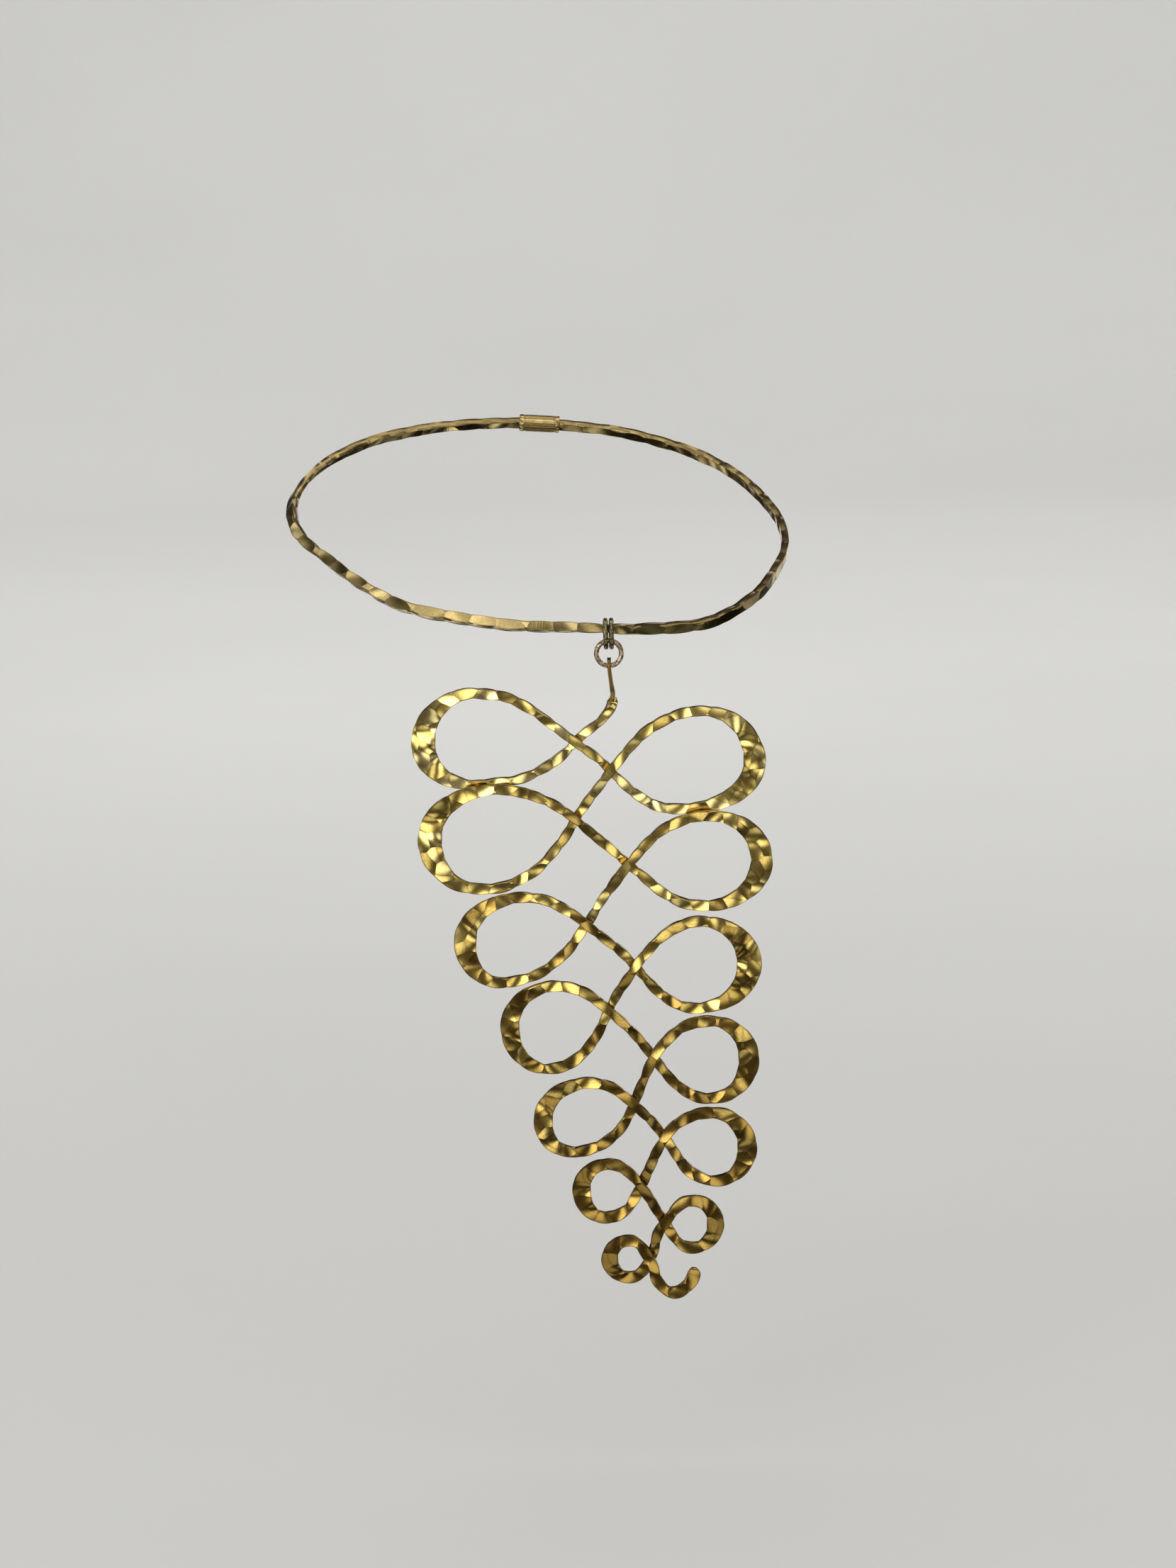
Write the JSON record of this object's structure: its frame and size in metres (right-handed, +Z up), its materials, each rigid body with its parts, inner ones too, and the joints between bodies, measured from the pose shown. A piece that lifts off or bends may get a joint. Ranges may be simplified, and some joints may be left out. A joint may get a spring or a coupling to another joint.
{
  "type": "hammered brass choker with scrolled wire pendant",
  "caption": "Rigid hammered brass neck ring worn at the base of the neck, with a long pendant of looped, flattened wire hanging free from it.",
  "frame": {"origin": "middle of the neck opening, in the plane of the neck ring", "axes": "+Z up, the front of the choker facing -Y, +X towards the viewer's right"},
  "size_m": [0.1425, 0.1217, 0.2382],
  "materials": {
    "neck_brass": "hammered brass, mellow with thin olive tarnish on its outer flats",
    "bail_brass": "smooth round brass wire, darkly tarnished, polished where it rubs",
    "jump_ring_brass": "smooth round brass wire, dulled grey-gold",
    "pendant_brass": "bright hammered brass with facets, fine scratches and brown tarnish towards its foot"
  },
  "bodies": {
    "neck_ring": {"neck_wire": "neck_brass", "clasp": "neck_brass"},
    "bail": {"bail_ring_left": "bail_brass", "bail_ring_right": "bail_brass"},
    "link": {"jump_ring": "jump_ring_brass"},
    "drop": {"pendant": "pendant_brass"}
  },
  "joints": [
    {"name": "bail_swing", "type": "hinge", "parent": "neck_ring", "child": "bail", "pos_m": [0.01855, -0.05497, -0.0226], "axis": [1, 0, 0], "range_deg": [-75, 40]},
    {"name": "link_sway", "type": "hinge", "parent": "bail", "child": "link", "pos_m": [0.01855, -0.05497, -0.02932], "axis": [0, 1, 0], "range_deg": [-20, 20]},
    {"name": "drop_swing", "type": "hinge", "parent": "link", "child": "drop", "pos_m": [0.01855, -0.05497, -0.03272], "axis": [1, 0, 0], "range_deg": [-75, 30]}
  ]
}
